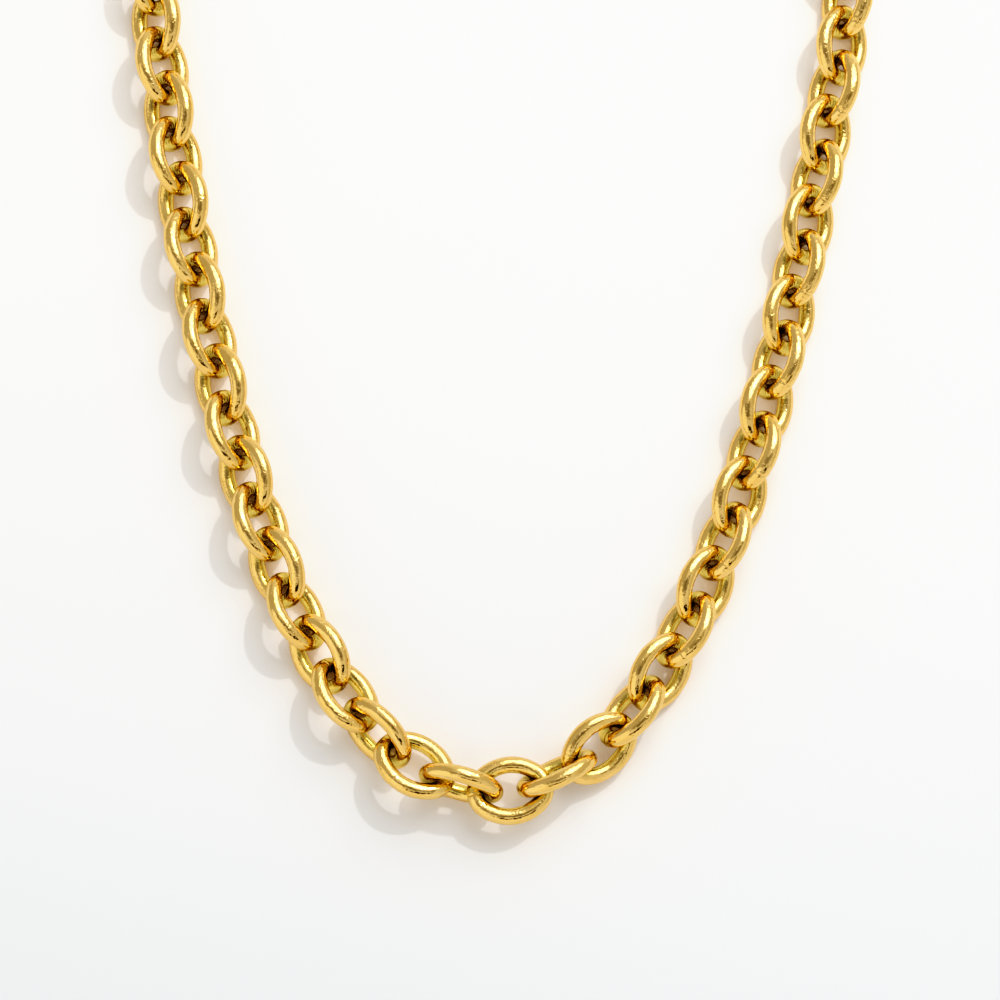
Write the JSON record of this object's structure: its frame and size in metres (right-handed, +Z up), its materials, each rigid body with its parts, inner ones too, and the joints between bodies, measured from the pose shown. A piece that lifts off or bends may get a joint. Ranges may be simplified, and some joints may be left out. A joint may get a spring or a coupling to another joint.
{
  "type": "chain choker",
  "caption": "Short chunky neck chain of oval round-wire cable links in polished gold colour, lying flat as one closed loop with a plain clasp at the back.",
  "frame": {"origin": "middle of the loop's bounding box, on the table that the chain lies on", "axes": "+Z up from the table, +Y from the front of the necklace to its clasp, +X to the right as seen from above with the clasp away from the viewer"},
  "size_m": [0.1032, 0.1702, 0.009],
  "materials": {
    "chain_gold": "polished gold plate",
    "clasp_gold": "polished gold plate"
  },
  "bodies": {
    "root": {"chain": "chain_gold", "clasp": "clasp_gold"}
  },
  "joints": []
}
